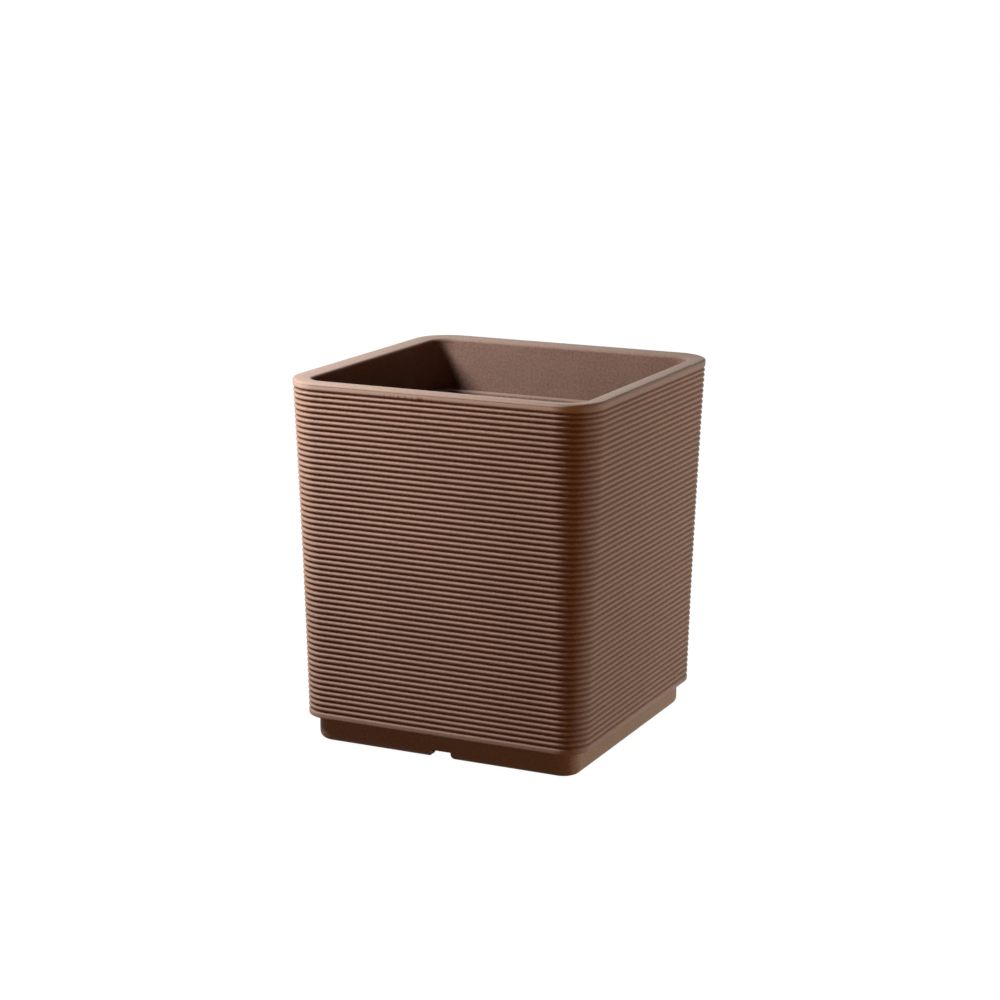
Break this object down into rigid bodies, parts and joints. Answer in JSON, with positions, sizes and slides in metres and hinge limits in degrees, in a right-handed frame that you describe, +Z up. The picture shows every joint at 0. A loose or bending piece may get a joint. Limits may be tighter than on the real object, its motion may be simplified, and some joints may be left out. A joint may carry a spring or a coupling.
{
  "type": "plastic planter",
  "caption": "Square plastic planter with fine horizontal reeds, a flat rim, a set-back foot with a drain notch, a lift-out liner, a slotted grate and a drain plug.",
  "frame": {"origin": "centre of the foot's underside, on the floor", "axes": "+Z up to the rim; -Y is the front, with a drain notch in the foot"},
  "size_m": [0.4, 0.4, 0.447],
  "materials": {
    "shell": "warm brown moulded plastic, fine matte grain",
    "rim": "warm brown moulded plastic, satin",
    "foot": "warm brown moulded plastic, satin",
    "liner": "warm brown moulded plastic, matte",
    "grate": "dark brown moulded plastic, matte",
    "plug": "near-black moulded plastic, satin",
    "seal": "black rubber"
  },
  "bodies": {
    "planter": {"ribbed_shell": "shell", "rim_collar": "rim", "base_plinth": "foot"},
    "liner": {"liner_pot": "liner"},
    "grate": {"soil_grate": "grate"},
    "plug": {"drain_plug": "plug", "plug_seal": "seal"}
  },
  "joints": [
    {"name": "liner_lift", "type": "slide", "parent": "planter", "child": "liner", "axis": [0, 0, 1], "range_m": [0, 0.4]},
    {"name": "grate_lift", "type": "slide", "parent": "liner", "child": "grate", "axis": [0, 0, 1], "range_m": [0, 0.39]},
    {"name": "plug_pull", "type": "slide", "parent": "planter", "child": "plug", "axis": [0, 0, -1], "range_m": [0, 0.03]}
  ]
}
